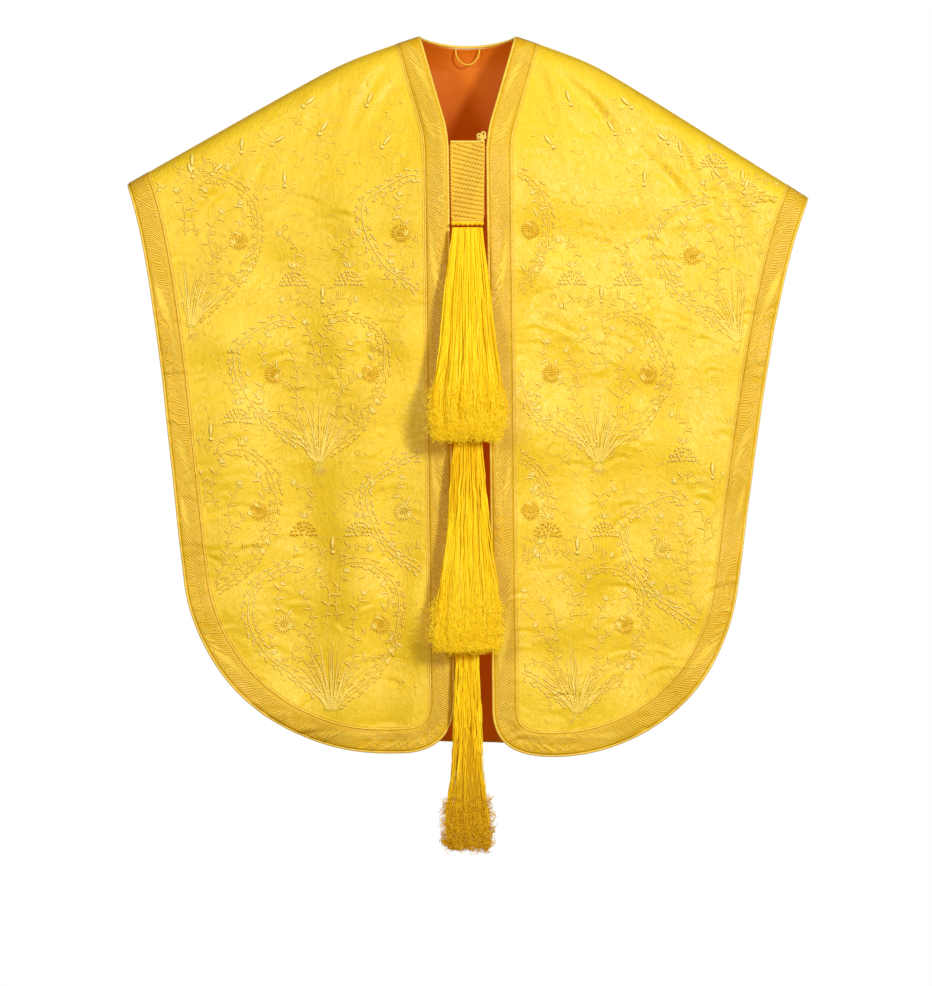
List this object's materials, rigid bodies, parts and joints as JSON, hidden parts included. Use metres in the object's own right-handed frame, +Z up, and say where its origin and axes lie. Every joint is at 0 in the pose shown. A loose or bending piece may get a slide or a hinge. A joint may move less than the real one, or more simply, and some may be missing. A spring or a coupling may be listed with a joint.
{
  "type": "chasuble",
  "caption": "Draped full-cut silk chasuble, open at the front, with embroidered panels, border bands, a laced breast band closure and a hanging tiered tassel.",
  "frame": {"origin": "on the wearer's shoulder line at the middle of the neck, where the garment is held up", "axes": "+Z up, -Y out of the front of the garment, +X to the right of someone who looks at the front"},
  "size_m": [1.127, 0.2983, 1.3385],
  "materials": {
    "silk": "satin-faced silk, golden yellow, embroidered tone on tone",
    "border": "silk worked all over with rows of wavy stitches, a little deeper in tone than the field",
    "cord": "twisted silk cord and piping",
    "lining": "plain silk lining, golden brown",
    "interlining": "plain unbleached linen, not seen",
    "tassel_silk": "loose floss silk strands, bright yellow, lustrous",
    "press_fastener": "pressed brass, satin"
  },
  "bodies": {
    "back": {"back_edge_piping": "cord", "back_field_piping": "cord", "back_hem_band": "border", "back_interlining": "interlining", "back_left_side_band": "border", "back_lining": "lining", "back_neck_band": "border", "back_neck_piping": "cord", "back_panel": "silk", "back_right_side_band": "border", "hanging_loop": "cord"},
    "fronts": {"closure_tab": "lining", "front_left_edge_band": "border", "front_left_edge_piping": "cord", "front_left_field_piping": "cord", "front_left_hem_band": "border", "front_left_interlining": "interlining", "front_left_lining": "lining", "front_left_panel": "silk", "front_left_side_band": "border", "front_right_edge_band": "border", "front_right_edge_piping": "cord", "front_right_field_piping": "cord", "front_right_hem_band": "border", "front_right_interlining": "interlining", "front_right_lining": "lining", "front_right_panel": "silk", "front_right_side_band": "border", "press_socket_1": "press_fastener", "press_socket_2": "press_fastener", "press_socket_3": "press_fastener"},
    "closure": {"breast_band": "border", "breast_band_backing": "lining", "breast_band_foot_binding": "cord", "breast_band_lattice": "cord", "breast_band_top_binding": "cord", "corner_knot": "cord", "press_stud_1": "press_fastener", "press_stud_2": "press_fastener", "press_stud_3": "press_fastener"},
    "tassel_head": {"header_knot_1": "tassel_silk", "header_knot_2": "tassel_silk", "header_knot_3": "tassel_silk", "header_knot_4": "tassel_silk", "header_knot_5": "tassel_silk", "header_knot_6": "tassel_silk", "header_knot_7": "tassel_silk", "tassel_header_cord": "cord"},
    "lower_tier": {"lower_tassel": "tassel_silk"},
    "middle_tier": {"middle_tassel": "tassel_silk"},
    "upper_tier": {"upper_tassel": "tassel_silk"}
  },
  "joints": [
    {"name": "fronts_lift", "type": "hinge", "parent": "back", "child": "fronts", "pos_m": [0, 0, 0.004], "axis": [-1, 0, 0], "range_deg": [0, 18]},
    {"name": "closure_open", "type": "hinge", "parent": "fronts", "child": "closure", "pos_m": [-0.0286, -0.1041, -0.186], "axis": [0, -0.0573, -0.9984], "range_deg": [0, 65]},
    {"name": "tassel_sway", "type": "hinge", "parent": "closure", "child": "tassel_head", "pos_m": [0, -0.122, -0.318], "axis": [0, -1, 0], "range_deg": [-15, 15]},
    {"name": "lower_tier_swing", "type": "hinge", "parent": "tassel_head", "child": "lower_tier", "pos_m": [0, -0.122, -0.318], "axis": [-1, 0, 0], "range_deg": [0, 35]},
    {"name": "middle_tier_swing", "type": "hinge", "parent": "lower_tier", "child": "middle_tier", "pos_m": [0, -0.122, -0.318], "axis": [-1, 0, 0], "range_deg": [0, 12]},
    {"name": "upper_tier_swing", "type": "hinge", "parent": "middle_tier", "child": "upper_tier", "pos_m": [0, -0.122, -0.318], "axis": [-1, 0, 0], "range_deg": [0, 12]}
  ]
}
